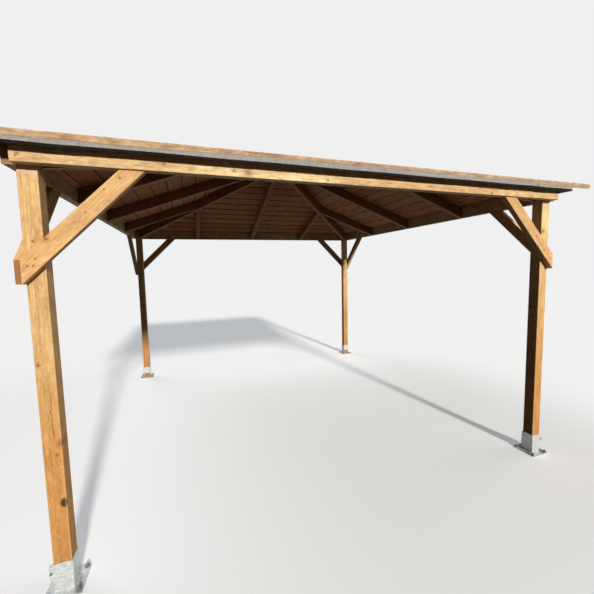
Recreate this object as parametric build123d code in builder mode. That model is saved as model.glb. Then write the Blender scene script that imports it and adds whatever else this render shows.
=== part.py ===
from build123d import *
import os
from math import atan, cos, degrees, radians, sin, sqrt, tan

os.makedirs("parts", exist_ok=True)

# Plan and heights, from the ground up
post_span = 3000.0
beam_underside = 1811.0
roof_pitch = 20.0
eave_overhang = 34.0
seat = 0.3

# Posts
post_width = 70.0
post_easing = 4.0

# Ring beams
beam_thickness = 44.0
beam_height = 90.0
beam_easing = 3.0
beam_tail = 12.0

# Knee braces
brace_width = 70.0
brace_thickness = 35.0
brace_reach = 464.0
brace_angle = 45.0
brace_easing = 2.5

# Rafters, hips and the block that they meet at
rafter_thickness = 44.0
rafter_depth = 82.0
hip_thickness = 44.0
hip_depth = 100.0
hip_cheek = 14.0
jack_offset = 740.0
block_across = 110.0
block_drop = 16.0
block_chamfer = 10.0

# Roof boards, felt and eave battens
board_thickness = 12.0
board_cover = 120.0
groove_depth = 4.0
felt_thickness = 3.0
felt_drip = 15.0
felt_bend = 2.5
batten_width = 34.0
batten_height = 30.0
batten_overhang = 188.0
batten_setback = 2.0
batten_easing = 2.0

# Post shoes
plate_size = 150.0
plate_thickness = 4.0
plate_corner = 8.0
anchor_spacing = 120.0
anchor_hole = 12.0
socket_play = 0.5
cheek_thickness = 2.5
cheek_margin = 6.0
shoe_height = 135.0
shoe_corner = 10.0
clamp_drop = 78.0
clamp_bend = 2.0
flange_reach = 16.0
flange_bolt_hole = 7.0
flange_bolt_inset = 7.5

# Worked out from the sizes above
post_face = post_span / 2
post_centre = post_face - post_width / 2
post_inner = post_face - post_width
beam_inner = post_face + seat
beam_outer = beam_inner + beam_thickness
eave_edge = beam_outer + eave_overhang
slope = tan(radians(roof_pitch))
level_over_square = 1 / cos(radians(roof_pitch))
hip_pitch = degrees(atan(slope / sqrt(2)))
socket_inside = post_width / 2 + socket_play
socket_outside = socket_inside + cheek_thickness
flange_end = socket_inside + flange_reach
flange_bolt_across = flange_end - flange_bolt_inset
flange_bolt_height = shoe_height - clamp_drop / 2

side_turn = {"front": 0, "right": 90, "rear": 180, "left": 270}
corner_turn = {"front_left": 0, "front_right": 90, "rear_right": 180, "rear_left": 270}
corner_mirrors = {
    "front_left": (),
    "front_right": (Plane.YZ,),
    "rear_left": (Plane.XZ,),
    "rear_right": (Plane.YZ, Plane.XZ),
}


def roof_height(reach, above_rafters=0.0):
    """Height of a roof layer at a plan distance from the centre, on the middle of a side."""
    rafter_top = beam_underside + rafter_depth * level_over_square
    return rafter_top + (beam_inner - reach) * slope + above_rafters * level_over_square


def post_head():
    """Height of the posts' square heads, close under the roof boards at their outer corners."""
    return roof_height(post_face) - seat


def side_section(turn):
    """Upright plane through the middle of a side, its x running outward and its y upward."""
    outward = Vector(0, -1, 0).rotate(Axis.Z, turn)
    along = Vector(-1, 0, 0).rotate(Axis.Z, turn)
    return Plane(origin=(0, 0, 0), x_dir=outward, z_dir=along)


def roof_plane(turn, above_rafters=0.0):
    """Sloping plane of a roof layer over one side, its normal pointing up and outward."""
    outward = Vector(0, -1, 0).rotate(Axis.Z, turn)
    normal = outward * sin(radians(roof_pitch)) + Vector(0, 0, 1) * cos(radians(roof_pitch))
    foot = outward * beam_inner + Vector(0, 0, 1) * roof_height(beam_inner, above_rafters)
    return Plane(origin=foot, z_dir=normal)


def hip_cut(turn, way, offset=0.0):
    """Upright plane beside a hip, its normal pointing into the side that lies at turn."""
    normal = Vector(0, -1, 0).rotate(Axis.Z, turn - 45 * way)
    return Plane(origin=normal * offset, z_dir=normal)


def corner_plane(turn):
    """Level plane on the ground at a post's centre, its x and y running inward."""
    centre = Vector(-post_centre, -post_centre, 0).rotate(Axis.Z, turn)
    inward = Vector(1, 0, 0).rotate(Axis.Z, turn)
    return Plane(origin=centre, x_dir=inward, z_dir=(0, 0, 1))


def mirrored(piece, planes):
    with BuildPart() as other:
        add(piece.part)
        for plane in planes:
            mirror(about=plane, mode=Mode.REPLACE)
    return other


def finish(piece, name):
    piece.part.label = name
    export_step(piece.part, f"parts/{name}.step")


# Posts, square at the head and eased along their four edges
def make_post(turn):
    foot = plate_thickness + seat
    with BuildPart() as post:
        with BuildSketch(corner_plane(turn).offset(foot)):
            Rectangle(post_width, post_width)
        extrude(amount=post_head() - foot)
        fillet(post.edges().filter_by(Axis.Z), radius=post_easing)
    return post


# Bolt-down shoes: a base plate with two welded cheeks, the front one running on as a flange
def make_shoe():
    centre = corner_plane(0).origin
    with BuildPart() as shoe:
        with BuildSketch(corner_plane(0)):
            RectangleRounded(plate_size, plate_size, plate_corner)
            with GridLocations(anchor_spacing, anchor_spacing, 2, 2):
                Circle(anchor_hole / 2, mode=Mode.SUBTRACT)
        extrude(amount=plate_thickness)
        # Front cheek, its flange running past the outer corner of the post
        front = Plane(origin=centre, x_dir=(1, 0, 0), z_dir=(0, -1, 0))
        with BuildSketch(front.offset(socket_inside)) as cheek:
            with BuildLine():
                Polyline(
                    (-socket_inside, plate_thickness),
                    (socket_outside, plate_thickness),
                    (socket_outside, shoe_height),
                    (-flange_end, shoe_height),
                    (-flange_end, shoe_height - clamp_drop),
                    (-socket_inside, shoe_height - clamp_drop),
                    close=True,
                )
            make_face()
            fillet(cheek.vertices().sort_by(Axis.X)[:2], radius=shoe_corner)
            with Locations((-flange_bolt_across, flange_bolt_height)):
                Circle(flange_bolt_hole / 2, mode=Mode.SUBTRACT)
        extrude(amount=cheek_thickness)
        # Side cheek, its margin covering the end of the clamp
        side = Plane(origin=centre, x_dir=(0, 1, 0), z_dir=(1, 0, 0))
        length = 2 * socket_inside + cheek_margin
        with BuildSketch(side.offset(socket_inside)) as cheek:
            with Locations((-socket_inside, plate_thickness)):
                Rectangle(length, shoe_height - plate_thickness, align=(Align.MIN, Align.MIN))
            fillet(cheek.vertices().group_by(Axis.X)[-1].sort_by(Axis.Y)[-1], radius=shoe_corner)
        extrude(amount=cheek_thickness)
    return shoe


# Clamps: the loose half of each shoe, bent around the other two faces of the post and out to the bolt
def make_clamp():
    centre = corner_plane(0).origin
    lap = socket_inside - seat
    with BuildPart() as clamp:
        with BuildSketch(corner_plane(0).offset(shoe_height - clamp_drop)) as sheet:
            with BuildLine():
                Polyline(
                    (-flange_end, -lap),
                    (-socket_inside, -lap),
                    (-socket_inside, socket_inside),
                    (lap, socket_inside),
                    (lap, socket_outside),
                    (-socket_outside, socket_outside),
                    (-socket_outside, cheek_thickness - lap),
                    (-flange_end, cheek_thickness - lap),
                    close=True,
                )
            make_face()
            for bend, radius in (
                ((-socket_outside, socket_outside), clamp_bend + cheek_thickness),
                ((-socket_inside, socket_inside), clamp_bend),
                ((-socket_inside, -lap), clamp_bend + cheek_thickness),
                ((-socket_outside, cheek_thickness - lap), clamp_bend),
            ):
                fillet(sheet.vertices().sort_by_distance(bend)[0], radius=radius)
        extrude(amount=clamp_drop)
        fillet(clamp.edges().filter_by(Axis.Y).sort_by(Axis.X)[:2], radius=shoe_corner)
        with BuildSketch(Plane(origin=centre, x_dir=(1, 0, 0), z_dir=(0, -1, 0))):
            with Locations((-flange_bolt_across, flange_bolt_height)):
                Circle(flange_bolt_hole / 2)
        extrude(amount=socket_inside, mode=Mode.SUBTRACT)
    return clamp


# Ring beams on the outer faces of the posts, their tops planed to the roof for the boards
def make_beam(turn, right_reach, left_reach):
    section = side_section(turn)
    with BuildPart() as beam:
        with BuildSketch(section.offset(-right_reach)):
            with Locations(((beam_inner + beam_outer) / 2, beam_underside + beam_height / 2)):
                Rectangle(beam_thickness, beam_height)
        extrude(amount=right_reach + left_reach)
        lower = beam.edges().filter_by(Axis(section.origin, section.z_dir)).group_by(Axis.Z)[0]
        fillet(lower, radius=beam_easing)
        for neighbour in (-90, 0, 90):
            split(bisect_by=roof_plane(turn + neighbour), keep=Keep.BOTTOM)
    return beam


# Knee braces: a plumb cut at the foot and a level cut under the beam
def make_brace(turn, way):
    section = side_section(turn)
    origin = section.from_local_coords(Vector(post_face + seat, 0, 0))
    post_side = Plane(origin=origin, x_dir=section.z_dir * -1, z_dir=section.x_dir)
    head = beam_underside - seat
    rise = brace_reach * tan(radians(brace_angle))
    plumb = brace_width / cos(radians(brace_angle))
    level = brace_width / sin(radians(brace_angle))
    with BuildPart() as brace:
        with BuildSketch(post_side):
            with BuildLine():
                Polyline(
                    (way * post_face, head - rise),
                    (way * post_face, head - rise + plumb),
                    (way * (post_face - brace_reach + level), head),
                    (way * (post_face - brace_reach), head),
                    close=True,
                )
            make_face()
        extrude(amount=brace_thickness)
        outer = brace.faces().sort_by(Axis(section.origin, section.x_dir))[-1]
        raked = outer.edges().filter_by(lambda edge: 0.1 < abs(edge.tangent_at(0).Z) < 0.9)
        fillet(raked, radius=brace_easing)
    return brace


# Hip rafters: backed to both slopes, and notched around the head of the post
def make_hip(turn):
    section = side_section(turn - 45)
    near = block_across / 2 + seat
    far = post_inner * sqrt(2) + hip_cheek
    plumb = hip_depth / cos(radians(hip_pitch))
    with BuildPart() as hip:
        with BuildSketch(section):
            with BuildLine():
                Polyline(
                    (near, roof_height(near / sqrt(2)) - plumb),
                    (far, roof_height(far / sqrt(2)) - plumb),
                    (far, roof_height(far / sqrt(2))),
                    (near, roof_height(near / sqrt(2))),
                    close=True,
                )
            make_face()
        extrude(amount=hip_thickness / 2, both=True)
        split(bisect_by=roof_plane(turn), keep=Keep.BOTTOM)
        split(bisect_by=roof_plane(turn - 90), keep=Keep.BOTTOM)
        with BuildSketch(corner_plane(turn)):
            Rectangle(post_width + 2 * seat, post_width + 2 * seat)
        extrude(amount=post_head() + seat, mode=Mode.SUBTRACT)
    return hip


# Rafters of one slope: the common rafter and a jack rafter on each side of it
def make_rafters(turn):
    section = side_section(turn)
    near = block_across / 2 + seat
    far = beam_inner - seat
    plumb = rafter_depth * level_over_square
    with BuildPart() as rafters:
        with BuildSketch(section.offset(-jack_offset), section, section.offset(jack_offset)):
            with BuildLine():
                Polyline(
                    (near, roof_height(near) - plumb),
                    (far, roof_height(far) - plumb),
                    (far, roof_height(far)),
                    (near, roof_height(near)),
                    close=True,
                )
            make_face()
        extrude(amount=rafter_thickness / 2, both=True)
        for way in (1, -1):
            split(bisect_by=hip_cut(turn, way, hip_thickness / 2 + seat), keep=Keep.TOP)
    return rafters


# Apex block: eight flats, one for each common rafter and each hip
def make_apex_block():
    top = roof_height(block_across / 2) - seat
    bottom = roof_height(block_across / 2) - hip_depth - block_drop
    with BuildPart() as block:
        with BuildSketch(Plane.XY.offset(bottom)):
            RegularPolygon(block_across / 2, 8, major_radius=False, rotation=22.5)
        extrude(amount=top - bottom)
        chamfer(block.faces().sort_by(Axis.Z)[0].edges(), length=block_chamfer)
    return block


# Roof boards of one slope, with a V at each joint on the underside
def make_boards(turn):
    section = side_section(turn)
    joints = int(eave_edge * level_over_square / board_cover)
    groove = sqrt(2) * groove_depth
    with BuildPart() as boards:
        with BuildSketch(section):
            with BuildLine():
                Polyline(
                    (0, roof_height(0, seat)),
                    (eave_edge, roof_height(eave_edge, seat)),
                    (eave_edge, roof_height(eave_edge, seat + board_thickness)),
                    (0, roof_height(0, seat + board_thickness)),
                    close=True,
                )
            make_face()
            for joint in range(1, joints + 1):
                reach = eave_edge - joint * board_cover / level_over_square
                with Locations((reach, roof_height(reach, seat))):
                    Rectangle(groove, groove, rotation=45 - roof_pitch, mode=Mode.SUBTRACT)
        extrude(amount=eave_edge, both=True)
        split(bisect_by=hip_cut(turn, 1), keep=Keep.TOP)
        split(bisect_by=hip_cut(turn, -1), keep=Keep.TOP)
    return boards


# Felt of one slope, turned down over the edge of the boards
def make_felt(turn):
    section = side_section(turn)
    under = 2 * seat + board_thickness
    over = under + felt_thickness
    inner = eave_edge + seat
    outer = inner + felt_thickness
    foot = roof_height(outer, over) - felt_drip
    with BuildPart() as felt:
        with BuildSketch(section) as profile:
            with BuildLine():
                Polyline(
                    (0, roof_height(0, under)),
                    (inner, roof_height(inner, under)),
                    (inner, foot),
                    (outer, foot),
                    (outer, roof_height(outer, over)),
                    (0, roof_height(0, over)),
                    close=True,
                )
            make_face()
            fillet(profile.vertices().group_by(Axis.X)[-1].sort_by(Axis.Y)[-1], radius=felt_bend)
        extrude(amount=outer, both=True)
        split(bisect_by=hip_cut(turn, 1), keep=Keep.TOP)
        split(bisect_by=hip_cut(turn, -1), keep=Keep.TOP)
    return felt


# Eave battens, laid on the felt along each edge
def batten_plane(turn):
    """Plane across a batten at its lower front edge, its x running up the slope."""
    section = side_section(turn)
    reach = eave_edge - batten_setback
    layer = 3 * seat + board_thickness + felt_thickness
    corner = section.from_local_coords(Vector(reach, roof_height(reach, layer), 0))
    pitch = radians(roof_pitch)
    up_slope = Vector(0, 0, 1) * sin(pitch) - section.x_dir * cos(pitch)
    return Plane(origin=corner, x_dir=up_slope, z_dir=section.z_dir * -1)


def make_batten(turn, reach):
    with BuildPart() as batten:
        with BuildSketch(batten_plane(turn)) as profile:
            Rectangle(batten_width, batten_height, align=(Align.MIN, Align.MIN))
            fillet(profile.vertices().group_by(Axis.Y)[-1], radius=batten_easing)
        extrude(amount=reach, both=True)
    return batten


def make_fitted_batten(turn):
    with BuildPart() as batten:
        add(make_batten(turn, eave_edge).part)
        for neighbour in (-90, 90):
            crossing = batten_plane(turn + neighbour)
            back = crossing.origin + crossing.x_dir * (batten_width + seat)
            split(bisect_by=Plane(origin=back, z_dir=crossing.x_dir), keep=Keep.TOP)
    return batten


for corner, turn in corner_turn.items():
    finish(make_post(turn), f"post_{corner}")
    finish(make_hip(turn), f"hip_rafter_{corner}")

for corner, planes in corner_mirrors.items():
    finish(mirrored(make_shoe(), planes), f"post_shoe_{corner}")
    finish(mirrored(make_clamp(), planes), f"shoe_clamp_{corner}")

for side, turn in side_turn.items():
    finish(make_rafters(turn), f"rafters_{side}")
    finish(make_boards(turn), f"roof_boards_{side}")
    finish(make_felt(turn), f"roof_felt_{side}")

finish(make_beam(side_turn["front"], post_face + beam_tail, post_face), "ring_beam_front")
finish(make_beam(side_turn["rear"], post_face, post_face + beam_tail), "ring_beam_rear")
finish(make_batten(side_turn["front"], eave_edge + batten_overhang), "eave_batten_front")
finish(make_batten(side_turn["rear"], eave_edge - batten_setback), "eave_batten_rear")

for side in ("left", "right"):
    finish(make_beam(side_turn[side], post_face, post_face), f"ring_beam_{side}")
    finish(make_fitted_batten(side_turn[side]), f"eave_batten_{side}")

for side, one_end, other_end in (
    ("front", "right", "left"),
    ("right", "rear", "front"),
    ("rear", "left", "right"),
    ("left", "front", "rear"),
):
    finish(make_brace(side_turn[side], 1), f"knee_brace_{side}_{one_end}")
    finish(make_brace(side_turn[side], -1), f"knee_brace_{side}_{other_end}")

finish(make_apex_block(), "apex_block")
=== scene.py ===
import math
import random

import bmesh
import bpy
from mathutils import Euler, Matrix, Vector


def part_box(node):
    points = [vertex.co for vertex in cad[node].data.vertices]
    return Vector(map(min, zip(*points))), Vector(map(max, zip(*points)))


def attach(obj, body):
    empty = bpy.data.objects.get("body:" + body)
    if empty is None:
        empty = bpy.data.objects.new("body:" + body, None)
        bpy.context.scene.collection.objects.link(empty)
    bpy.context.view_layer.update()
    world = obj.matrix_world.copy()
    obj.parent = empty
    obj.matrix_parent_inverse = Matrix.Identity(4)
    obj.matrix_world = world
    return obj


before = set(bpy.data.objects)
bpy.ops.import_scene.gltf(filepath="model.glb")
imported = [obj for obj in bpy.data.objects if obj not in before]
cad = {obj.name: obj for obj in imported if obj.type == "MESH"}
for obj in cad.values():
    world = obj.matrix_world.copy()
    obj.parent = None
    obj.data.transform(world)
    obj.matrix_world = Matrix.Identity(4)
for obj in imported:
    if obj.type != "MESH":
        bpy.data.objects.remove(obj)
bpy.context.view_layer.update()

# Sizes and counts that the frame doesn't state. Lengths are in metres
ROOF_PITCH = math.radians(20.0)
POST_FACE = 1.5
POST_CENTRE = 1.465
BRACE_FACE = 1.5353
BEAM_FACE = 1.5443
BRACE_REACH = 0.464
BRACE_WIDTH = 0.070
BOARD_COVER = 0.120
BATTEN_SETBACK = 0.002
BATTEN_WIDTH = 0.034
BATTEN_HEIGHT = 0.030
BASE_PLATE = 0.004
ANCHOR_OFFSET = 0.060
FLANGE_BOLT_ACROSS = 0.044
FLANGE_BOLT_HEIGHT = 0.096
CHEEK_FACE = 0.038
CLAMP_FLANGE_FACE = 0.0327
FELT_GAUGE = 0.0026
FELT_SEAT = 0.0003
LOWER_COURSE = 0.92
COURSE_TIP = 0.0085
MITRE_GAP = 0.003
HIP_CAP_REACH = 0.322
HIP_CAP_TIP = 0.0165
HIP_CAP_GAP = 0.0006
CORNER_DROP = 0.0020
STRIP_GAUGE = 0.0015
NAIL_HEAD_RADIUS = 0.0048
NAIL_HEAD_HEIGHT = 0.0010
NAILS_IN_ROW = 11
NAIL_STRAY = 0.006
LAP_NAIL_START = -0.56
LAP_NAIL_SPACING = 0.112
LAP_NAIL_MARGIN = 0.018
HIP_NAIL_START = 0.42
HIP_NAIL_SPACING = 0.108
HIP_NAIL_MARGIN = 0.020
SCREW_HEAD_RADIUS = 0.0046
BRACE_SCREW_INSETS = (0.022, 0.050)
BEAM_SCREW_PLACES = ((0.020, 0.022), (0.050, 0.064))
BATTEN_SCREWS = 6
BATTEN_SCREW_START = -1.45
BATTEN_SCREW_SPACING = 0.58
BATTEN_SCREW_STRAY = 0.020
M6 = {"shank": 0.003, "flats": 0.010, "head": 0.0042, "washer": 0.0058, "washer_height": 0.0012}
M10 = {"shank": 0.005, "flats": 0.017, "head": 0.008, "washer": 0.0105, "washer_height": 0.002}

# The knots that the photograph shows: the reach of the face, then x, z and radius of each
SEEN_KNOTS = {
    "post_front_left": (POST_FACE, ((-1.450, 0.621, 0.0045), (-1.488, 1.015, 0.0055),
                                    (-1.465, 1.518, 0.0042))),
    "ring_beam_front": (BEAM_FACE, ((-1.473, 1.841, 0.0048), (-0.962, 1.843, 0.0050),
                                    (-0.666, 1.838, 0.0052), (-0.600, 1.834, 0.0125),
                                    (-0.196, 1.827, 0.0045), (0.911, 1.822, 0.0060))),
    "knee_brace_front_left": (BRACE_FACE, ((-1.135, 1.775, 0.0034), (-1.196, 1.727, 0.0030),
                                           (-1.269, 1.632, 0.0028), (-1.459, 1.419, 0.0030))),
}
DEAD_KNOT = (-1.440, -POST_FACE, 0.404)

# Paler stretches of sticks, as place and reach, and the height where a post's pale head begins
BEAM_SAPWOOD = ((-0.48, 0, 0), 0.62)
POST_SAPWOOD = ((0, 0, 1.7), 0.45)
PALE_HEAD = 1.774

# Camera solved from the photograph's posts, beams and paving
CAMERA_PLACE = (-0.8852, -3.0297, 1.3866)
CAMERA_YAW = math.radians(-18.583)
CAMERA_PITCH = math.radians(-4.897)
CAMERA_ROLL = math.radians(-1.289)
CAMERA_FOCAL_PIXELS = 313.90
CAMERA_CENTRE_PIXELS = (294.89, 295.26)
PICTURE_PIXELS = 594

SIDES = {"front": 0, "right": 90, "rear": 180, "left": 270}
CORNERS = {"front_left": (-1, -1), "front_right": (1, -1), "rear_left": (-1, 1), "rear_right": (1, 1)}
UP = Vector((0, 0, 1))

# Heights and reaches from the centre that the frame gives
felt_low, felt_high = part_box("roof_felt_front")
EAVE_EDGE = -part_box("roof_boards_front")[0].y
FELT_EDGE = -felt_low.y
FELT_FOOT = felt_low.z
APEX_HEIGHT = felt_high.z
BATTEN_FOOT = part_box("eave_batten_front")[0].z
BATTEN_EDGE = EAVE_EDGE - BATTEN_SETBACK
BATTEN_BACK = BATTEN_EDGE - BATTEN_WIDTH * math.cos(ROOF_PITCH)
LAP_REACH = EAVE_EDGE - LOWER_COURSE * math.cos(ROOF_PITCH)
CORNER_LAP = EAVE_EDGE - HIP_CAP_REACH
STRIP_NOSE = FELT_FOOT + 0.0033
STRIP_FOOT = FELT_FOOT - 0.0055
NOSE_REACH = FELT_EDGE + 0.0040


def rgb(red, green, blue):
    """A colour given as the eye sees it, 0 to 255, as the linear colour that a shader takes."""
    def linear(value):
        value /= 255
        return value / 12.92 if value <= 0.04045 else ((value + 0.055) / 1.055) ** 2.4
    return (linear(red), linear(green), linear(blue), 1.0)


def tinted(color, red, green, blue):
    """A linear colour with each of its three parts scaled."""
    return (min(1.0, color[0] * red), min(1.0, color[1] * green), min(1.0, color[2] * blue), 1.0)


class Shader:
    """A node material under construction. Most calls return the socket that carries their result."""

    def __init__(self, name):
        self.material = bpy.data.materials.new(name)
        self.material.use_nodes = True
        self.tree = self.material.node_tree
        self.tree.nodes.clear()

    def node(self, kind, settings=None, **inputs):
        """Adds a node and returns the node itself."""
        made = self.tree.nodes.new(kind)
        for key, value in (settings or {}).items():
            setattr(made, key, value)
        for key, value in inputs.items():
            self.feed(made.inputs[key.replace("_", " ")], value)
        return made

    def feed(self, socket, value):
        if isinstance(value, bpy.types.NodeSocket):
            self.tree.links.new(value, socket)
        else:
            socket.default_value = value

    def maths(self, operation, *values):
        made = self.tree.nodes.new("ShaderNodeMath")
        made.operation = operation
        for socket, value in zip(made.inputs, values):
            self.feed(socket, value)
        return made.outputs[0]

    def plus(self, first, second):
        return self.maths("ADD", first, second)

    def minus(self, first, second):
        return self.maths("SUBTRACT", first, second)

    def times(self, first, second):
        return self.maths("MULTIPLY", first, second)

    def sway(self, noise, size):
        """A noise from 0 to 1 as a sway about zero, as wide as the size."""
        return self.times(self.minus(noise, 0.5), size)

    def vector(self, operation, *values):
        made = self.tree.nodes.new("ShaderNodeVectorMath")
        made.operation = operation
        for socket, value in zip(made.inputs, values):
            self.feed(socket, value)
        return made.outputs["Value" if operation in ("LENGTH", "DOT_PRODUCT") else "Vector"]

    def scaled(self, place, scale):
        """A place with its three parts scaled."""
        return self.vector("MULTIPLY", place, scale)

    def noise(self, place, scale=1.0, detail=2.0, roughness=0.5):
        made = self.node("ShaderNodeTexNoise", Vector=place, Scale=scale, Detail=detail, Roughness=roughness)
        return made.outputs[0]

    def cells(self, place, scale, randomness):
        """Adds nearest-point cells and returns the node, for its place, colour and distance."""
        return self.node("ShaderNodeTexVoronoi", {"feature": "F1"}, Vector=place, Scale=scale,
                         Randomness=randomness)

    def chance(self, number):
        """For each whole number, the outputs of a number from 0 to 1 and of three such as a colour."""
        return self.node("ShaderNodeTexWhiteNoise", {"noise_dimensions": "1D"}, W=number).outputs

    def step(self, value, low, high, new_low=0.0, new_high=1.0):
        """The new low at low and the new high at high, smooth between and flat beyond."""
        made = self.node("ShaderNodeMapRange", {"interpolation_type": "SMOOTHSTEP"}, Value=value)
        limits = (("From Min", low), ("From Max", high), ("To Min", new_low), ("To Max", new_high))
        for key, number in limits:
            self.feed(made.inputs[key], number)
        return made.outputs[0]

    def mix(self, share, first, second, blend="MIX"):
        made = self.tree.nodes.new("ShaderNodeMix")
        made.data_type = "RGBA"
        made.blend_type = blend
        self.feed(made.inputs[0], share)
        self.feed(made.inputs[6], first)
        self.feed(made.inputs[7], second)
        return made.outputs[2]

    def split(self, vector):
        made = self.node("ShaderNodeSeparateXYZ", Vector=vector)
        return made.outputs[0], made.outputs[1], made.outputs[2]

    def join(self, x, y, z):
        made = self.tree.nodes.new("ShaderNodeCombineXYZ")
        for socket, value in zip(made.inputs, (x, y, z)):
            self.feed(socket, value)
        return made.outputs[0]

    def object_place(self):
        return self.tree.nodes.new("ShaderNodeTexCoord").outputs["Object"]

    def geometry(self, output):
        return self.tree.nodes.new("ShaderNodeNewGeometry").outputs[output]

    def edges_for_wear_and_highlight(self, radius):
        """1 on arrises within the radius, 0 on flats."""
        bevel = self.node("ShaderNodeBevel", {"samples": 4}, Radius=radius).outputs[0]
        cosine = self.vector("DOT_PRODUCT", bevel, self.geometry("Normal"))
        return self.step(cosine, 0.995, 0.90)

    def corner_shade(self, reach, darkest):
        """Painted shade: 1 on open faces, down to the darkest in inner corners and under edges."""
        sheltered = self.node("ShaderNodeAmbientOcclusion", {"samples": 4}, Distance=reach).outputs["AO"]
        return self.step(sheltered, 0.15, 0.9, darkest, 1.0)

    def finish(self, color, roughness, height, bump_distance, specular, metallic=0.0):
        """Ends the material with its surface and returns it."""
        shader = self.node("ShaderNodeBsdfPrincipled", Base_Color=color, Roughness=roughness)
        shader.inputs["Metallic"].default_value = metallic
        shader.inputs["Specular IOR Level"].default_value = specular
        bump = self.node("ShaderNodeBump", Height=height)
        bump.inputs["Strength"].default_value = 1.0
        bump.inputs["Distance"].default_value = bump_distance
        self.tree.links.new(bump.outputs[0], shader.inputs["Normal"])
        output = self.tree.nodes.new("ShaderNodeOutputMaterial")
        self.tree.links.new(shader.outputs[0], output.inputs[0])
        return self.material


class Wood:
    """One kind of timber: its two colours, and how it has grown, been worked and weathered.
    A course is the cover of boards side by side. The painted shade of a joint starts at a share of it from
    the middle."""
    ring = 0.0048
    knots = 1.0
    mottling = 1.0
    weather = 0.3
    rub_and_highlight = 0.4
    arris = 0.004
    foot_stain = 0.0
    # How far downward faces are painted lighter, standing in for light thrown up from below
    underside = 0.0
    course = None
    joint = 0.44

    def __init__(self, light, dark, **traits):
        self.light = light
        self.dark = dark
        for name, value in traits.items():
            setattr(self, name, value)


# Kinds of timber, from the sunlit front to the shaded roof. The rafters, hips, apex and boards are given
# darker, redder colours than the same timber at the front: painted shade and painted warm bounced light.
POST = Wood(rgb(240, 204, 146), rgb(194, 144, 86), ring=0.0044, mottling=0.95, weather=0.2,
            foot_stain=0.75, arris=0.010, rub_and_highlight=0.5)
BEAM = Wood(rgb(242, 212, 160), rgb(204, 154, 100), ring=0.0052, mottling=1.35, weather=0.25)
BRACE = Wood(rgb(240, 198, 140), rgb(196, 144, 90), ring=0.0042)
BATTEN = Wood(rgb(230, 200, 166), rgb(190, 152, 114), ring=0.004, knots=0.8, mottling=1.8, weather=0.35)
APEX = Wood(rgb(152, 102, 60), rgb(100, 60, 32))
RAFTER = Wood(APEX.light, APEX.dark, rub_and_highlight=0.85, underside=0.8)
BOARD = Wood(rgb(216, 154, 98), rgb(150, 96, 54), ring=0.005, knots=1.5, mottling=1.4, course=BOARD_COVER)
# The rear slope's boards get a wider band of painted joint shade
REAR_BOARD = Wood(BOARD.light, BOARD.dark, ring=BOARD.ring, knots=BOARD.knots, mottling=BOARD.mottling,
                  course=BOARD_COVER, joint=0.405)


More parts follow.
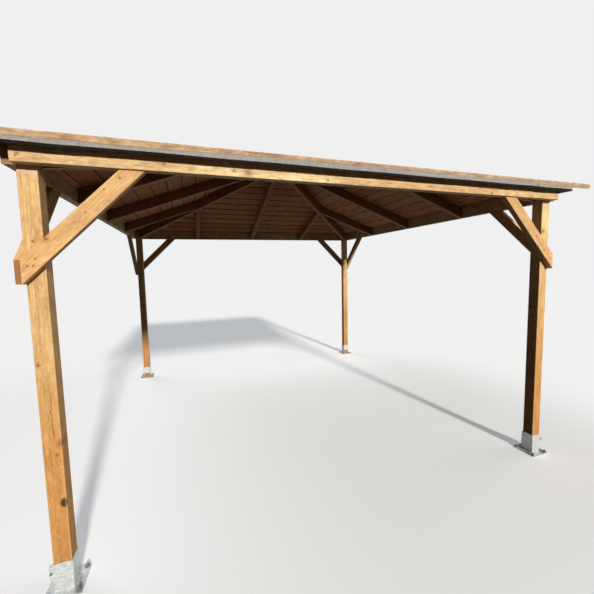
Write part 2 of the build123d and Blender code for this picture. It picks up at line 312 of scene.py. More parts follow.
class Timber(Shader):
    """The material of one stick, or of boards laid side by side, in its own grain:
    x runs along the grain and z square to the broad face. The heart is where the rings have their centre."""

    def __init__(self, name, origin, along, face, wood, seed, heart=(0.03, -0.05)):
        super().__init__(name)
        self.wood = wood
        self.seed = seed
        self.heart = heart
        self.origin = Vector(origin)
        self.along = Vector(along).normalized()
        across = Vector(face).cross(self.along).normalized()
        self.turn = Matrix((self.along, across, self.along.cross(across)))
        mapping = self.tree.nodes.new("ShaderNodeMapping")
        mapping.vector_type = "POINT"
        mapping.inputs["Rotation"].default_value = self.turn.to_euler()
        mapping.inputs["Location"].default_value = -(self.turn @ self.origin)
        self.tree.links.new(self.object_place(), mapping.inputs["Vector"])
        self.place = mapping.outputs[0]
        self.u, self.v, self.w = self.split(self.place)
        self.tint = self.noise(self.join(self.times(self.u, 1.1), seed, 0.0), 1.0, 3.0, 0.6)
        if wood.course:
            self.lay_boards()
        self.here = self.join(self.plus(self.u, seed), self.v, self.w)

    def lay_boards(self):
        """Gives each board of the course its own place, tint and tone, and finds the joints between them."""
        across = self.maths("DIVIDE", self.v, self.wood.course)
        row = self.maths("FLOOR", across)
        luck = self.split(self.chance(self.plus(row, self.seed))["Color"])
        off_middle = self.minus(self.minus(across, row), 0.5)
        joint = self.wood.joint
        # Painted shade in the V-joints: 1 close to each joint between boards
        self.joint_shade = self.step(self.maths("ABSOLUTE", off_middle), joint, joint + 0.04)
        self.tone = self.maths("FRACT", self.plus(self.times(luck[0], 7.3), self.times(luck[1], 3.1)))
        self.u = self.plus(self.u, self.times(luck[0], 9.0))
        self.v = self.plus(self.times(off_middle, self.wood.course), self.sway(luck[1], 0.16))
        self.w = self.plus(self.w, self.sway(luck[2], 0.10))
        self.tint = self.plus(self.times(luck[2], 0.7), self.times(self.tint, 0.3))

    def grain(self, scale, stretch=1.0, detail=2.0, roughness=0.5):
        """A noise in the grain's own place, scaled along, across and through it."""
        return self.noise(self.scaled(self.here, scale), stretch, detail, roughness)

    def distance_to(self, spot, squash):
        """Distance from a spot on the part, squashed along, across and through the grain."""
        local = tuple(self.turn @ (Vector(spot) - self.origin))
        return self.vector("LENGTH", self.scaled(self.vector("SUBTRACT", self.place, local), squash))

    def nearest_cell(self, along, across, depth_share, randomness):
        """Distance from the nearest of scattered points, so many to the metre, and its three chances.
        The depth counts for a share, so that a knot runs into the wood."""
        cell = self.scaled(self.here, (along, across, across))
        points = self.cells(cell, 1.0, randomness)
        back = (1 / along, 1 / across, depth_share / across)
        away = self.scaled(self.vector("SUBTRACT", cell, points.outputs["Position"]), back)
        return self.vector("LENGTH", away), self.split(points.outputs["Color"])

    def knot_share(self, wobble, seen_knots):
        """Distance from the nearest knot, as a share of its radius."""
        distance, luck = self.nearest_cell(4.2, 13.0, 0.4, 0.9)
        distance = self.plus(distance, self.sway(wobble, 0.008))
        radius = self.step(luck[0], 0.3, 1.0, 0.002, 0.013 * self.wood.knots)
        radius = self.times(radius, self.maths("GREATER_THAN", luck[1], 0.3))
        share = self.maths("DIVIDE", distance, self.maths("MAXIMUM", radius, 0.0005))
        for spot, size in seen_knots:
            away = self.plus(self.distance_to(spot, (0.8, 1.0, 0.4)), self.sway(wobble, size * 0.7))
            share = self.maths("MINIMUM", share, self.maths("DIVIDE", away, size))
        return share

    def pin_knots(self):
        """1 on pin knots, and 1 on the paler wood round them."""
        distance, luck = self.nearest_cell(17.0, 44.0, 0.5, 1.0)
        share = self.maths("DIVIDE", distance, self.step(luck[0], 0.5, 1.0, 0.0008, 0.0034))
        grown = self.maths("GREATER_THAN", luck[1], 0.62)
        return self.times(self.step(share, 1.3, 0.6), grown), self.times(self.step(share, 4.5, 1.2), grown)

    def late_wood(self, swirl):
        """The dark part of each growth ring, about a heart that wanders, and swirling round knots."""
        across = self.plus(self.minus(self.v, self.heart[0]), self.sway(self.grain((0.9, 3.0, 3.0)), 0.02))
        across = self.plus(across, self.sway(self.grain((8.0, 16.0, 16.0)), 0.012))
        through = self.plus(self.minus(self.w, self.heart[1]),
                            self.sway(self.grain((1.3, 4.0, 4.0), 1.7, 1.0), 0.014))
        reach = self.maths("SQRT", self.plus(self.times(across, across), self.times(through, through)))
        years = self.plus(self.maths("DIVIDE", reach, self.wood.ring), self.times(swirl, 1.2))
        years = self.plus(years, self.times(self.grain((4.0, 40.0, 40.0)), 0.7))
        part = self.maths("FRACT", years)
        late = self.times(self.step(part, 0.25, 0.85), self.step(part, 1.0, 0.92))
        luck = self.chance(self.maths("FLOOR", years))[0]
        return self.times(late, self.step(luck, 0.0, 1.0, 0.35, 1.0))

    def cracks(self):
        """Thin drying cracks, in some stretches only."""
        line = self.maths("ABSOLUTE", self.minus(self.grain((1.1, 34.0, 34.0), 1.0, 1.0, 0.4), 0.5))
        where = self.grain((0.8, 9.0, 9.0), 1.3, 0.0)
        return self.times(self.step(line, 0.005, 0.001), self.step(where, 0.58, 0.66, 0.0, 0.7))

    def grown_color(self, late, streak, fibre, sapwood):
        """The colour that the tree gave: rings, streaks, fibres, rosier and duller stretches and sapwood."""
        light, dark = self.wood.light, self.wood.dark
        color = self.mix(self.times(late, 0.55), light, dark)
        color = self.mix(self.step(streak, 0.38, 0.72, 0.0, 0.5), color, dark)
        color = self.mix(self.step(fibre, 0.35, 0.8, 0.0, 0.2), color, tinted(dark, 0.60, 0.55, 0.50))
        color = self.mix(self.step(self.tint, 0.5, 0.66, 0.0, 0.75), color, tinted(light, 0.97, 0.84, 0.76))
        color = self.mix(self.step(self.tint, 0.48, 0.34, 0.0, 0.5), color, tinted(light, 0.90, 0.79, 0.64))
        if sapwood:
            spot, reach = sapwood
            off = self.maths("ABSOLUTE", self.minus(self.u, (Vector(spot) - self.origin).dot(self.along)))
            off = self.plus(off, self.times(streak, 0.2))
            share = self.step(off, reach, reach * 0.4, 0.0, 0.75)
            color = self.mix(share, color, tinted(light, 1.04, 1.16, 1.16))
        return color

    def foot_stained(self, color, streak, speck):
        """A post's colour: darker towards the wet foot, and pale at its head."""
        dark = self.wood.dark
        height = self.split(self.object_place())[2]
        wet = self.plus(height, self.sway(streak, 0.7))
        stain = self.step(wet, 1.35, 0.5, 0.0, self.wood.foot_stain)
        color = self.mix(stain, color, tinted(dark, 1.10, 0.90, 0.66))
        color = self.mix(self.step(wet, 0.36, 0.10, 0.0, 0.35), color, tinted(dark, 0.60, 0.55, 0.50))
        head = self.plus(height, self.sway(speck, 0.012))
        return self.mix(self.step(head, PALE_HEAD, PALE_HEAD + 0.010, 0.0, 0.6), color, rgb(246, 206, 182))

    def mottled(self, color, speck):
        """Pale curls, darker clouds and specks, each board's tone, and weathered blotches."""
        much = self.wood.mottling
        curl = self.step(self.grain((13.0, 60.0, 60.0), 1.0, 3.0, 0.7), 0.56, 0.72, 0.0, 0.35 * much)
        color = self.mix(curl, color, tinted(self.wood.light, 1.08, 1.02, 0.94))
        cloud = self.grain((9.0, 26.0, 26.0), 1.0, 4.0, 0.7)
        shade = self.step(cloud, 0.3, 0.7, 1 - 0.2 * much, 1 + 0.12 * much)
        shade = self.times(shade, self.step(speck, 0.3, 0.72, 1 - 0.12 * much, 1 + 0.1 * much))
        if self.wood.course:
            shade = self.times(shade, self.step(self.tone, 0.0, 1.0, 0.60, 1.28))
        warm_shade = self.join(self.maths("POWER", shade, 0.7), shade, self.maths("POWER", shade, 1.25))
        color = self.mix(1.0, color, warm_shade, "MULTIPLY")
        blotch = self.noise(self.place, 5.0, 3.0, 0.6)
        share = self.step(blotch, 0.5, 0.78, 0.0, self.wood.weather)
        return self.mix(share, color, tinted(self.wood.dark, 0.92, 0.80, 0.70))

    def knotted(self, color, knot, collar, pin):
        """Knots, the darker wood that closes on them, and pin knots."""
        dark = self.wood.dark
        color = self.mix(self.times(collar, 0.5), color, tinted(dark, 0.80, 0.62, 0.50))
        color = self.mix(self.times(knot, 0.85), color, tinted(dark, 0.46, 0.34, 0.29))
        return self.mix(self.times(pin, 0.75), color, tinted(dark, 0.52, 0.40, 0.34))

    def end_grained(self, color, late):
        """Darker and redder where the face cuts across the grain."""
        facing = self.vector("DOT_PRODUCT", self.geometry("True Normal"), tuple(self.along))
        ends = self.mix(self.times(late, 0.6), tinted(self.wood.light, 0.48, 0.37, 0.34),
                        tinted(self.wood.dark, 0.40, 0.29, 0.25))
        return self.mix(self.step(self.maths("ABSOLUTE", facing), 0.5, 0.68), color, ends)

    def handled(self, color):
        """Paler arrises, partly rubbed wear and partly painted highlight; painted shade in the board joints;
        painted light on undersides; painted shade in inner corners and under edges.
        """
        wood = self.wood
        # Paler arrises: partly rubbed wear, partly a painted highlight where the edges catch the light
        rubbed = tinted(wood.light, 0.7 + wood.rub_and_highlight, 0.64 + wood.rub_and_highlight, 0.6 + wood.rub_and_highlight)
        color = self.mix(self.times(self.edges_for_wear_and_highlight(wood.arris), wood.rub_and_highlight), color, rubbed)
        # Painted shade: near-black in the V-joints between boards
        if wood.course:
            color = self.mix(self.times(self.joint_shade, 0.94), color, rgb(22, 11, 5))
        # Painted light: faces turned downwards lighter, as if lit from the floor below
        if wood.underside:
            down = self.step(self.split(self.geometry("True Normal"))[2], -0.6, -0.85, 0.0, wood.underside)
            color = self.mix(down, color, tinted(wood.light, 1.8, 2.0, 2.3))
        # Painted shade in inner corners and under overhangs, such as the top of a beam under the eave
        corner_shade = self.corner_shade(0.09, 0.42)
        return self.mix(1.0, color, self.join(corner_shade, corner_shade, corner_shade), "MULTIPLY")

    def surface(self, seen_knots=(), dead_knot=None, sapwood=None):
        """Builds the material. Seen knots are pairs of place and radius, a dead knot is a place,
        and sapwood is the place and reach of a paler stretch."""
        wobble = self.noise(self.here, 90.0, 3.0, 0.6)
        share = self.knot_share(wobble, seen_knots)
        knot = self.step(share, 1.05, 0.75)
        collar = self.times(self.step(share, 2.6, 1.0), self.minus(1.0, knot))
        late = self.late_wood(self.step(share, 5.0, 0.8))
        pin, halo = self.pin_knots()
        fibre = self.grain((9.0, 700.0, 700.0), 1.0, 3.0, 0.65)
        streak = self.grain((2.2, 90.0, 90.0), 1.0, 4.0, 0.65)
        speck = self.grain((34.0, 110.0, 110.0), 1.0, 3.0, 0.6)
        crack = self.cracks()

        color = self.grown_color(late, streak, fibre, sapwood)
        color = self.mix(self.times(halo, 0.45), color, tinted(self.wood.light, 1.1, 1.08, 1.05))
        if self.wood.foot_stain:
            color = self.foot_stained(color, streak, speck)
        color = self.mottled(color, speck)
        color = self.knotted(color, knot, collar, pin)
        color = self.end_grained(color, late)
        color = self.mix(self.times(crack, 0.8), color, rgb(52, 32, 19))
        if dead_knot:
            away = self.plus(self.distance_to(dead_knot, (0.62, 0.85, 0.85)), self.sway(wobble, 0.012))
            color = self.mix(self.step(away, 0.017, 0.007, 0.0, 0.92), color, rgb(40, 24, 14))
        color = self.handled(color)

        rough = self.minus(self.step(fibre, 0.2, 0.8, 0.58, 0.82), self.times(knot, 0.18))
        if self.wood.course:
            rough = self.maths("MAXIMUM", rough, self.joint_shade)
        height = self.plus(self.times(fibre, 0.35), self.times(late, 0.35))
        height = self.minus(height, self.times(crack, 2.2))
        height = self.plus(height, self.times(knot, 0.5))
        return self.finish(color, rough, height, 0.0006, 0.3)


def mineral_felt(name, tint, seed):
    """Bitumen felt under grey mineral chips: black on worn edges, and black on faces turned downwards,
    partly the sheet's black back and partly painted shade under the rolled eave strips.
    """
    s = Shader(name)
    place = s.vector("ADD", s.object_place(), (seed, seed * 0.7, 0.0))
    chips = s.cells(place, 620.0, 1.0)
    luck = s.split(chips.outputs["Color"])
    color = s.mix(s.step(luck[0], 0.15, 0.9), rgb(154, 152, 147), rgb(190, 188, 182))
    color = s.mix(s.maths("GREATER_THAN", luck[1], 0.9), color, rgb(122, 122, 116))
    color = s.mix(s.maths("GREATER_THAN", luck[2], 0.93), color, rgb(214, 213, 208))
    color = s.mix(1.0, color, tint, "MULTIPLY")
    patch = s.noise(place, 3.0, 4.0, 0.6)
    color = s.mix(s.step(patch, 0.42, 0.72, 0.0, 0.3), color, rgb(140, 138, 132))
    run = s.noise(s.scaled(place, (14.0, 14.0, 2.5)), 1.0, 3.0, 0.55)
    color = s.mix(s.step(run, 0.5, 0.8, 0.0, 0.25), color, rgb(112, 111, 106))
    bare = s.noise(place, 90.0, 2.0, 0.6)
    rubbed = s.times(s.edges_for_wear_and_highlight(0.0022), s.step(bare, 0.4, 0.62))
    color = s.mix(s.times(rubbed, 0.75), color, rgb(34, 34, 34))
    # Black on faces turned downwards: partly the sheet's black back, partly painted shade under the rolled
    # edges
    back = s.step(s.split(s.geometry("Normal"))[2], -0.18, -0.34)
    color = s.mix(back, color, rgb(28, 27, 26))
    height = s.plus(chips.outputs["Distance"], s.times(patch, 2.0))
    rough = s.step(luck[0], 0.0, 1.0, 0.78, 0.96)
    return s.finish(color, rough, height, 0.0005, 0.25)


def zinc(name, light, dark, seed, spangle, roughness=0.42, metallic=0.45):
    """Galvanised or plated steel with its spangle, dull patches and brighter rubbed edges."""
    s = Shader(name)
    place = s.vector("ADD", s.object_place(), (seed, 0.0, seed * 0.3))
    luck = s.split(s.cells(place, spangle, 1.0).outputs["Color"])
    cloud = s.noise(place, 40.0, 5.0, 0.7)
    color = s.mix(luck[0], light, dark)
    color = s.mix(s.step(cloud, 0.45, 0.75, 0.0, 0.3), color, tinted(dark, 0.8, 0.8, 0.82))
    white_rust = s.noise(place, 60.0, 3.0, 0.7)
    color = s.mix(s.step(white_rust, 0.62, 0.74, 0.0, metallic), color, rgb(224, 227, 226))
    color = s.mix(s.times(s.edges_for_wear_and_highlight(0.002), 1.1 * metallic), color, rgb(222, 224, 224))
    rough = s.step(cloud, 0.3, 0.8, roughness - 0.06, roughness + 0.16)
    rough = s.plus(rough, s.times(luck[1], 0.08))
    height = s.plus(s.times(luck[0], 0.3), cloud)
    return s.finish(color, rough, height, 0.0002, 0.5, metallic)


def dress(node, material):
    """Gives a CAD node a material in place of the one it was packed with."""
    mesh = cad[node].data
    mesh.materials.clear()
    mesh.materials.append(material)


def piece(name, shape, material):
    """Turns a bmesh into a named piece that rides on the part."""
    mesh = bpy.data.meshes.new(name)
    bmesh.ops.recalc_face_normals(shape, faces=shape.faces)
    shape.to_mesh(mesh)
    shape.free()
    mesh.materials.append(material)
    made = bpy.data.objects.new(name, mesh)
    bpy.context.scene.collection.objects.link(made)
    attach(made, "root")


def standing_on(place, axis):
    """The matrix that stands a shape made along +Z at a place, along an axis."""
    return Matrix.Translation(place) @ Vector(axis).to_track_quat("Z", "Y").to_matrix().to_4x4()


def add_turned(shape, profile, place, axis, sides=16, turn=0.0):
    """Adds a closed turned solid.
    The profile is pairs of radius and height, from the bottom centre to the top centre."""
    rings = []
    stand = standing_on(place, axis) @ Matrix.Rotation(turn, 4, "Z")
    for radius, height in profile:
        if radius == 0:
            rings.append([shape.verts.new(stand @ Vector((0, 0, height)))])
            continue
        angles = [2 * math.pi * k / sides for k in range(sides)]
        rings.append([shape.verts.new(stand @ Vector((radius * math.cos(a), radius * math.sin(a), height)))
                      for a in angles])
    for lower, upper in zip(rings, rings[1:]):
        for k in range(sides):
            following = (k + 1) % sides
            if len(lower) == 1:
                shape.faces.new((lower[0], upper[following], upper[k]))
            elif len(upper) == 1:
                shape.faces.new((lower[k], lower[following], upper[0]))
            else:
                shape.faces.new((lower[k], lower[following], upper[following], upper[k]))


def add_hex(shape, size, place, axis, turn):
    """Adds a hexagon head or nut with its washer and chamfered corners."""
    corner = size["flats"] / math.sqrt(3)
    flat = size["flats"] / 2
    base = size["washer_height"]
    top = base + size["head"]
    chamfer = 0.06 * size["flats"]
    add_turned(shape, ((0, 0), (size["washer"], 0), (size["washer"], base), (0, base)), place, axis, 24)
    outline = ((0, base), (flat, base), (corner, base + chamfer), (corner, top - chamfer),
               (flat, top), (0, top))
    add_turned(shape, outline, place, axis, 6, turn)


def add_bolt(shape, size, place, axis, turn, grip):
    """Adds a bolt through the grip: head and washer on the near side, nut and thread end on the far side."""
    axis = Vector(axis)
    place = Vector(place)
    add_hex(shape, size, place, axis, turn)
    far = place - axis * grip
    add_hex(shape, size, far, -axis, turn + 0.4)
    end = size["washer_height"] + size["head"] + 0.006
    shank = size["shank"]
    thread = ((0, -grip), (shank, -grip), (shank, end - 0.001), (shank * 0.8, end), (0, end))
    add_turned(shape, thread, far, -axis, 12)


def add_screw(shape, place, axis, turn):
    """Adds a countersunk screw head with its recess, standing a hair proud of the timber."""
    radius = SCREW_HEAD_RADIUS
    outline = ((0, -0.002), (radius * 0.6, -0.002), (radius, 0.0002), (radius * 0.9, 0.0007),
               (radius * 0.42, 0.0008), (radius * 0.30, -0.0006), (0, -0.0008))
    add_turned(shape, outline, place, axis, 16, turn)


def middle_of(node):
    """The middle of a node's box."""
    low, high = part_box(node)
    return (low + high) / 2


def turned(point, turn):
    """A place or direction on the front side, carried round to the side that lies at turn."""
    moved = Vector(point)
    moved.rotate(Euler((0, 0, math.radians(turn))))
    return moved


def seen_knots(node):
    """A node's knots as pairs of place and radius."""
    face, knots = SEEN_KNOTS.get(node, (0.0, ()))
    return [((x, -face, z), radius) for x, z, radius in knots]


def dress_corner(index, corner, sx, sy):
    """Gives a post and the hip over it their wood."""
    post, hip = f"post_{corner}", f"hip_rafter_{corner}"
    heart = (random.uniform(0.02, 0.05) * random.choice((-1, 1)), random.uniform(-0.06, -0.03))
    wood = Timber(f"post_wood_{corner}", middle_of(post), UP, (0, sy, 0), POST, 3.1 + 5 * index, heart)
    dead_knot = DEAD_KNOT if corner == "front_left" else None
    sapwood = POST_SAPWOOD if corner == "front_right" else None
    dress(post, wood.surface(seen_knots(post), dead_knot, sapwood))
    run = Vector((sx, sy, -math.sqrt(2) * math.tan(ROOF_PITCH)))
    wood = Timber(f"hip_wood_{corner}", middle_of(hip), run, (sy, -sx, 0), RAFTER, 11.7 + 3 * index, heart)
    dress(hip, wood.surface())


def dress_braces(side, out, along):
    """Gives each knee brace on a side a stick of its own."""
    for end in ("left", "right", "front", "rear"):
        brace = f"knee_brace_{side}_{end}"
        if brace in cad:
            centre = middle_of(brace)
            run = UP - along * (1 if centre.dot(along) > 0 else -1)
            wood = Timber(f"brace_wood_{side}_{end}", centre, run, out, BRACE, random.uniform(80, 120),
                          (0.015, -0.04))
            dress(brace, wood.surface(seen_knots(brace)))


def dress_side(index, side, turn):
    """Gives a side's beam, batten, rafters, boards and braces their wood."""
    kinds = ("ring_beam", "eave_batten", "rafters", "roof_boards")
    beam, batten, rafters, boards = (f"{kind}_{side}" for kind in kinds)
    out = turned((0, -1, 0), turn)
    along = UP.cross(out)
    heart = (random.uniform(0.02, 0.06), random.uniform(-0.07, -0.04))
    down = out * math.cos(ROOF_PITCH) - UP * math.sin(ROOF_PITCH)
    normal = out * math.sin(ROOF_PITCH) + UP * math.cos(ROOF_PITCH)

    wood = Timber(f"beam_wood_{side}", middle_of(beam), along, out, BEAM, 21.3 + 4 * index, heart)
    spot, reach = BEAM_SAPWOOD
    dress(beam, wood.surface(seen_knots(beam), sapwood=(turned(spot, turn), reach)))
    wood = Timber(f"batten_wood_{side}", middle_of(batten), along, out, BATTEN, 41.9 + 7 * index,
                  (0.03, -0.03))
    dress(batten, wood.surface())
    wood = Timber(f"rafter_wood_{side}", middle_of(rafters), down, along, RAFTER, 57.1 + 5 * index, heart)
    dress(rafters, wood.surface())
    edge = out * EAVE_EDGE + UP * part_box(f"roof_boards_{side}")[0].z
    kind = REAR_BOARD if side == "rear" else BOARD
    wood = Timber(f"board_wood_{side}", edge, normal.cross(down), normal, kind, 71.3 + 11 * index,
                  (0.0, -0.05))
    dress(boards, wood.surface())
    dress_braces(side, out, along)


def dress_timber():
    """Gives each timber node its own stick of wood, with the grain along its length."""
    for index, (corner, (sx, sy)) in enumerate(CORNERS.items()):
        dress_corner(index, corner, sx, sy)
    for index, (side, turn) in enumerate(SIDES.items()):
        dress_side(index, side, turn)
    dress("apex_block", Timber("apex_wood", middle_of("apex_block"), UP, (1, 0, 0), APEX, 5.5).surface())


def dress_felt_and_steel(felt, steel):
    """Gives the felt, the shoes and their clamps their materials."""
    for side in SIDES:
        dress(f"roof_felt_{side}", felt)
    for corner in CORNERS:
        dress(f"post_shoe_{corner}", steel)
        dress(f"shoe_clamp_{corner}", steel)


def ease(value):
    """0 below 0, 1 above 1, and smooth between."""
    value = min(1.0, max(0.0, value))
    return value * value * (3 - 2 * value)


def felt_height(reach):
    """Height of the felt's top face at a plan distance from the centre, on the middle of a side."""
    return APEX_HEIGHT - reach * math.tan(ROOF_PITCH)


def add_loft(shape, rows):
    """Adds a closed solid through rows of points, each row a closed loop with the same number of points."""
    loops = [[shape.verts.new(point) for point in row] for row in rows]
    count = len(loops[0])
    for loop, following in zip(loops, loops[1:]):
        for k in range(count):
            n = (k + 1) % count
            shape.faces.new((loop[k], loop[n], following[n], following[k]))
    shape.faces.new(list(reversed(loops[0])))
    shape.faces.new(loops[-1])


def add_ribbon(shape, first, second, thickness):
    """Adds a sheet between two lines of points. The thickness leads from its lower face to its upper."""
    add_loft(shape, [(a, b, b + thickness, a + thickness) for a, b in zip(first, second)])


def build_upper_course(side, turn, felt):
    """The upper strip of felt on a slope, lapped over the lower one."""
    shape = bmesh.new()
    first, second = [], []
    half = 48
    for k in range(2 * half + 1):
        x = (LAP_REACH - MITRE_GAP) * (k / half - 1)
        wave = 0.004 * math.sin(7.3 * x + turn) + 0.0015 * math.sin(23.0 * x + 2.0)
        wave *= 1 - abs(x) / LAP_REACH
        edge = LAP_REACH + wave
        top = max(abs(x), COURSE_TIP)
        first.append(turned((x, -edge, felt_height(edge) + FELT_SEAT), turn))
        second.append(turned((x, -top, felt_height(top) + FELT_SEAT), turn))
    add_ribbon(shape, first, second, UP * FELT_GAUGE)
    piece(f"felt_upper_course_{side}", shape, felt)


def cap_height(reach):
    """Height of a hip cap's underside, which steps down where the upper course ends."""
    over_lap = 1 - ease((reach - LAP_REACH - 0.004) / 0.02)
    return felt_height(reach) + FELT_SEAT + over_lap * (FELT_GAUGE + FELT_SEAT)


def build_hip_cap(corner, sx, sy, felt):
    """The strip of felt folded over a hip, from the point of the roof to the eave batten."""
    shape = bmesh.new()
    spans = 90
    for swap in (False, True):
        inner, ridge = [], []
        for k in range(spans + 1):
            reach = HIP_CAP_TIP + (BATTEN_BACK - HIP_CAP_GAP - HIP_CAP_TIP) * k / spans
            wave = 0.0035 * math.sin(5.9 * reach + sx + 2 * sy) + 0.0012 * math.sin(31.0 * reach + sy)
            side = max(reach - HIP_CAP_REACH + wave, 0.0)
            z = cap_height(reach)
            inner.append(Vector((sx * reach, sy * side, z) if swap else (sx * side, sy * reach, z)))
            ridge.append(Vector((sx * reach, sy * reach, z)))
        add_ribbon(shape, inner, ridge, UP * FELT_GAUGE)
    piece(f"felt_hip_cap_{corner}", shape, felt)


def drip_face(height):
    """How far out the felt strip lies at a height: against the turned-down felt, then against the batten."""
    batten = BATTEN_EDGE + (height - BATTEN_FOOT) * math.tan(ROOF_PITCH)
    return max(FELT_EDGE, batten) + FELT_SEAT


def strip_section(foot, nose, top, reach, stand_off):
    """Section of an eave strip as pairs of reach and height, round a closed loop.
    It lies flat at its top, swells to a rounded nose at the reach and turns in under it to its foot."""
    spans = 5
    turn_in = 0.46
    lip = 0.0008
    outer = []
    for k in range(spans + 1):
        z = top + (nose - top) * k / spans
        face = drip_face(z) + stand_off + STRIP_GAUGE
        outer.append((face + max(0.0, reach - face) * (k / spans) ** 2, z))
    inner = [(max(drip_face(z) + stand_off, y - STRIP_GAUGE), z) for y, z in outer]
    for share in (0.3, 1.0):
        drop = share * (nose - foot)
        under = outer[spans][0] - turn_in * drop
        outer.append((under, nose - drop))
        inner.append((under - lip, nose - drop))
    return outer + inner[::-1]


def strip_rise(x, phase):
    """How far the eave strip runs up over the batten: lowest at its left end, slack beyond."""
    slack = 0.0012 + 0.0088 * ease((x + 1.05) / 0.65) - 0.0015 * ease((x - 0.1) / 0.5)
    slack += 0.005 * ease(1 - abs(x + 0.32) / 0.14)
    return slack + 0.0011 * math.sin(7.1 * x + phase) + 0.0008 * math.sin(23.0 * x + 2 * phase)


def build_eave_strip(side, turn, felt):
    """The felt strip nailed along an eave, between the corner pieces."""
    shape = bmesh.new()
    rows = []
    phase = math.radians(turn) * 1.7
    half = 60
    for k in range(2 * half + 1):
        x = (CORNER_LAP + 0.012) * (k / half - 1)
        sway = 0.0006 * math.sin(11.0 * x + phase)
        under_lap = ease((abs(x) - CORNER_LAP + 0.05) / 0.04)
        top = BATTEN_FOOT + max(0.0005, strip_rise(x, phase))
        reach = NOSE_REACH - 0.0020 * under_lap
        section = strip_section(STRIP_FOOT + sway, STRIP_NOSE + 1.3 * sway, top, reach, 0.0)
        rows.append([turned((x, -y, z), turn) for y, z in section])
    add_loft(shape, rows)
    piece(f"felt_eave_strip_{side}", shape, felt)


def build_corner_drip(corner, sx, sy, felt):
    """The folded end of a hip cap, hanging a little lower than the strips that it laps."""
    shape = bmesh.new()
    rows = []
    last = 20
    for k in range(2 * last + 1):
        way = min(k, 2 * last - k) / last
        along = CORNER_LAP + (EAVE_EDGE - 0.004 - CORNER_LAP) * way
        stand_off = 0.0019 * (1 - ease((along - CORNER_LAP - 0.015) / 0.03))
        rise = 0.0035 * (1 - ease((along - 1.34) / 0.12)) + 0.0005 * math.sin(41.0 * along + sx)
        sway = 0.0010 * math.sin(23.0 * along + sy)
        top = BATTEN_FOOT + (max(0.0, rise) if way < 0.95 else 0.0)
        section = strip_section(STRIP_FOOT - CORNER_DROP + sway, STRIP_NOSE - CORNER_DROP / 2 + sway, top,
                                NOSE_REACH, stand_off)
        if k < last:
            rows.append([Vector((sx * along, sy * reach, z)) for reach, z in section])
        elif k == last:
            rows.append([Vector((sx * reach, sy * reach, z)) for reach, z in section])
        else:
            rows.append([Vector((sx * reach, sy * along, z)) for reach, z in section])
    add_loft(shape, rows)
    piece(f"felt_corner_drip_{corner}", shape, felt)


def add_nail(shape, place, axis):
    """Adds the broad flat head of a clout nail."""
    r, h = NAIL_HEAD_RADIUS, NAIL_HEAD_HEIGHT
    add_turned(shape, ((0, -0.0004), (r, -0.0004), (r, h * 0.6), (r * 0.8, h), (0, h)), place, axis, 10)


def build_felt_nails(side, turn, zinc_plate):
    """Clout nails along the laps of one slope."""
    shape = bmesh.new()
    normal = turned((0, -math.sin(ROOF_PITCH), math.cos(ROOF_PITCH)), turn)
    for k in range(NAILS_IN_ROW):
        x = LAP_NAIL_START + LAP_NAIL_SPACING * k + random.uniform(-NAIL_STRAY, NAIL_STRAY)
        reach = LAP_REACH - LAP_NAIL_MARGIN
        if abs(x) < reach - HIP_CAP_REACH - 0.01:
            add_nail(shape, turned((x, -reach, felt_height(reach) + FELT_SEAT + FELT_GAUGE), turn), normal)
    for way in (-1, 1):
        for k in range(NAILS_IN_ROW):
            reach = HIP_NAIL_START + HIP_NAIL_SPACING * k + random.uniform(-NAIL_STRAY, NAIL_STRAY)
            x = way * (reach - HIP_CAP_REACH + HIP_NAIL_MARGIN)
            add_nail(shape, turned((x, -reach, cap_height(reach) + FELT_GAUGE), turn), normal)
    piece(f"felt_nails_{side}", shape, zinc_plate)


def build_timber_screws(side, turn, bronze):
    """Countersunk screws of one side: through the brace feet, the beam ends and the batten."""
    shape = bmesh.new()
    out = turned((0, -1, 0), turn)
    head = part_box("ring_beam_front")[0].z
    middle = BRACE_WIDTH / math.sqrt(2)
    for way in (-1, 1):
        for inset in BRACE_SCREW_INSETS:
            height = head - BRACE_REACH + middle + inset
            foot = turned((way * (POST_FACE - inset), -BRACE_FACE, height), turn)
            add_screw(shape, foot, out, random.uniform(0, 3))
        for inset, lift in BEAM_SCREW_PLACES:
            end = turned((way * (POST_FACE - inset), -BEAM_FACE, head + lift), turn)
            add_screw(shape, end, out, random.uniform(0, 3))
    up_slope = turned((0, math.cos(ROOF_PITCH), math.sin(ROOF_PITCH)), turn)
    normal = turned((0, -math.sin(ROOF_PITCH), math.cos(ROOF_PITCH)), turn)
    batten = turned((0, -BATTEN_EDGE, BATTEN_FOOT), turn) + up_slope * BATTEN_WIDTH / 2
    along = turned((1, 0, 0), turn)
    for k in range(BATTEN_SCREWS):
        stray = random.uniform(-BATTEN_SCREW_STRAY, BATTEN_SCREW_STRAY)
        x = BATTEN_SCREW_START + BATTEN_SCREW_SPACING * k + stray
        add_screw(shape, batten + along * x + normal * BATTEN_HEIGHT, normal, random.uniform(0, 3))
    piece(f"timber_screws_{side}", shape, bronze)


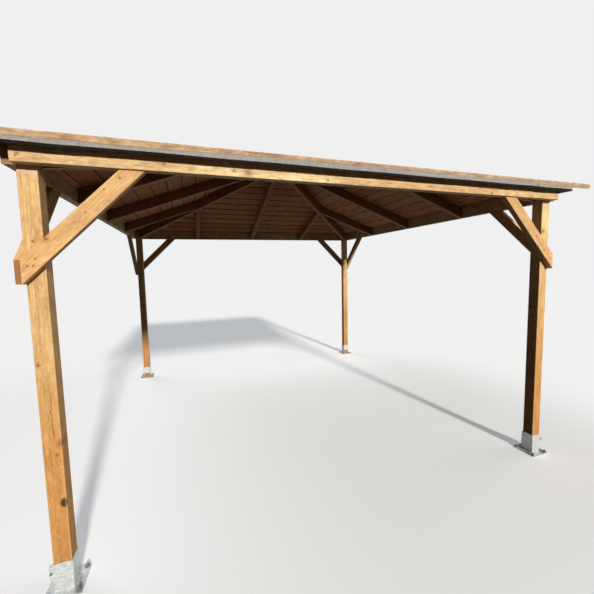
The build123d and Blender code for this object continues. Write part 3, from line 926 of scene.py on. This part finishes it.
def build_shoe_bolts(corner, sx, sy, zinc_plate):
    """Anchor bolts through the base plate, and the bolt that draws the clamp tight."""
    def place(x, y, z):
        return Vector((sx * (POST_CENTRE - x), sy * (POST_CENTRE - y), z))
    shape = bmesh.new()
    for x in (-ANCHOR_OFFSET, ANCHOR_OFFSET):
        for y in (-ANCHOR_OFFSET, ANCHOR_OFFSET):
            foot = place(x, y, BASE_PLATE)
            add_hex(shape, M10, foot, UP, random.uniform(0, 1))
            stud = M10["shank"]
            end = 0.0005 - BASE_PLATE
            top = M10["washer_height"] + M10["head"] + random.uniform(0.004, 0.010)
            outline = ((0, end), (stud, end), (stud, top - 0.001), (stud * 0.75, top), (0, top))
            add_turned(shape, outline, foot, UP, 12)
    near = place(-FLANGE_BOLT_ACROSS, -CHEEK_FACE, FLANGE_BOLT_HEIGHT)
    add_bolt(shape, M6, near, (0, sy, 0), 0.3, CHEEK_FACE - CLAMP_FLANGE_FACE)
    piece(f"shoe_bolts_{corner}", shape, zinc_plate)


def build_floor():
    """A pale floor as the camera sees it, which throws only a little light back at the object."""
    s = Shader("floor_paint")
    ray = s.tree.nodes.new("ShaderNodeLightPath")
    seen = s.maths("MAXIMUM", ray.outputs["Is Camera Ray"], ray.outputs["Is Glossy Ray"])
    color = s.mix(seen, rgb(54, 52, 50), rgb(235, 236, 238))
    paint = s.node("ShaderNodeBsdfDiffuse", Color=color)
    lift = s.node("ShaderNodeEmission", Color=rgb(240, 241, 243))
    s.feed(lift.inputs["Strength"], s.times(seen, 0.26))
    shader = s.tree.nodes.new("ShaderNodeAddShader")
    s.tree.links.new(paint.outputs[0], shader.inputs[0])
    s.tree.links.new(lift.outputs[0], shader.inputs[1])
    output = s.tree.nodes.new("ShaderNodeOutputMaterial")
    s.tree.links.new(shader.outputs[0], output.inputs[0])
    shape = bmesh.new()
    half, depth = 60.0, 0.0005
    outline = ((-half, -half), (half, -half), (half, half), (-half, half))
    shape.faces.new([shape.verts.new((x, y, -depth)) for x, y in outline])
    mesh = bpy.data.meshes.new("floor")
    shape.to_mesh(mesh)
    shape.free()
    mesh.materials.append(s.material)
    floor = bpy.data.objects.new("floor", mesh)
    bpy.context.scene.collection.objects.link(floor)


def build_world():
    """A pale backdrop as the camera sees it, and a faint light on the object."""
    world = bpy.data.worlds.new("studio")
    bpy.context.scene.world = world
    world.use_nodes = True
    tree = world.node_tree
    tree.nodes.clear()
    path = tree.nodes.new("ShaderNodeLightPath")
    shown = tree.nodes.new("ShaderNodeBackground")
    shown.inputs["Color"].default_value = rgb(240, 240, 240)
    shown.inputs["Strength"].default_value = 1.0
    lit = tree.nodes.new("ShaderNodeBackground")
    lit.inputs["Color"].default_value = rgb(228, 236, 248)
    lit.inputs["Strength"].default_value = 0.035
    seen = tree.nodes.new("ShaderNodeMath")
    seen.operation = "MAXIMUM"
    tree.links.new(path.outputs["Is Camera Ray"], seen.inputs[0])
    tree.links.new(path.outputs["Is Transmission Ray"], seen.inputs[1])
    both = tree.nodes.new("ShaderNodeMixShader")
    tree.links.new(seen.outputs[0], both.inputs[0])
    tree.links.new(lit.outputs[0], both.inputs[1])
    tree.links.new(shown.outputs[0], both.inputs[2])
    output = tree.nodes.new("ShaderNodeOutputWorld")
    tree.links.new(both.outputs[0], output.inputs[0])


def build_lamp(name, strength, spread, tint, toward):
    """A lamp far off in the direction of toward, as wide as the spread in degrees."""
    lamp = bpy.data.lights.new(name, "SUN")
    lamp.energy = strength
    lamp.angle = math.radians(spread)
    lamp.color = tint
    placed = bpy.data.objects.new(name, lamp)
    placed.rotation_euler = Vector(toward).to_track_quat("Z", "Y").to_euler()
    bpy.context.scene.collection.objects.link(placed)


def build_camera():
    """The camera that took the photograph."""
    forward = Vector((-math.sin(CAMERA_YAW) * math.cos(CAMERA_PITCH),
                      math.cos(CAMERA_YAW) * math.cos(CAMERA_PITCH), math.sin(CAMERA_PITCH)))
    level = Vector((math.cos(CAMERA_YAW), math.sin(CAMERA_YAW), 0))
    above = level.cross(forward)
    right = level * math.cos(CAMERA_ROLL) + above * math.sin(CAMERA_ROLL)
    up = above * math.cos(CAMERA_ROLL) - level * math.sin(CAMERA_ROLL)
    lens = bpy.data.cameras.new("camera")
    lens.sensor_width = 36.0
    lens.lens = lens.sensor_width * CAMERA_FOCAL_PIXELS / PICTURE_PIXELS
    lens.shift_x = (PICTURE_PIXELS / 2 - CAMERA_CENTRE_PIXELS[0]) / PICTURE_PIXELS
    lens.shift_y = (CAMERA_CENTRE_PIXELS[1] - PICTURE_PIXELS / 2) / PICTURE_PIXELS
    lens.clip_start = 0.01
    lens.clip_end = 300.0
    camera = bpy.data.objects.new("camera", lens)
    turn = Matrix((right, up, -forward)).transposed().to_4x4()
    camera.matrix_world = Matrix.Translation(CAMERA_PLACE) @ turn
    bpy.context.scene.collection.objects.link(camera)
    bpy.context.scene.camera = camera


random.seed(31)
dress_timber()
grey_felt = mineral_felt("mineral_felt", rgb(232, 232, 234), 0.0)
strip_felt = mineral_felt("mineral_felt_strips", rgb(238, 238, 240), 4.0)
galvanised = zinc("galvanised_steel", rgb(229, 233, 232), rgb(196, 202, 203), 0.0, 150.0)
plated = zinc("plated_steel", rgb(206, 206, 200), rgb(170, 170, 164), 2.0, 300.0, 0.32)
weathered = zinc("weathered_bolts", rgb(142, 138, 130), rgb(104, 98, 90), 8.0, 300.0, 0.45)
bronzed = zinc("passivated_steel", rgb(168, 118, 66), rgb(132, 88, 46), 6.0, 300.0, 0.5, 0.1)
dress_felt_and_steel(grey_felt, galvanised)

for side, turn in SIDES.items():
    build_upper_course(side, turn, grey_felt)
    build_eave_strip(side, turn, strip_felt)
    build_felt_nails(side, turn, plated)
    build_timber_screws(side, turn, bronzed)

for corner, (sx, sy) in CORNERS.items():
    build_hip_cap(corner, sx, sy, strip_felt)
    build_corner_drip(corner, sx, sy, strip_felt)
    build_shoe_bolts(corner, sx, sy, weathered)

build_floor()
build_world()
build_lamp("key", strength=3.7, spread=5.0, tint=(1.0, 0.95, 0.86), toward=(0.13, -1.0, 0.43))
build_lamp("side", strength=1.0, spread=40.0, tint=(0.94, 0.97, 1.0), toward=(1.0, -0.1, 0.35))
build_lamp("fill", strength=0.85, spread=35.0, tint=(0.92, 0.96, 1.0), toward=(-0.6, 0.8, 1.3))
build_camera()
bpy.context.scene.view_settings.view_transform = "Standard"
bpy.context.view_layer.update()
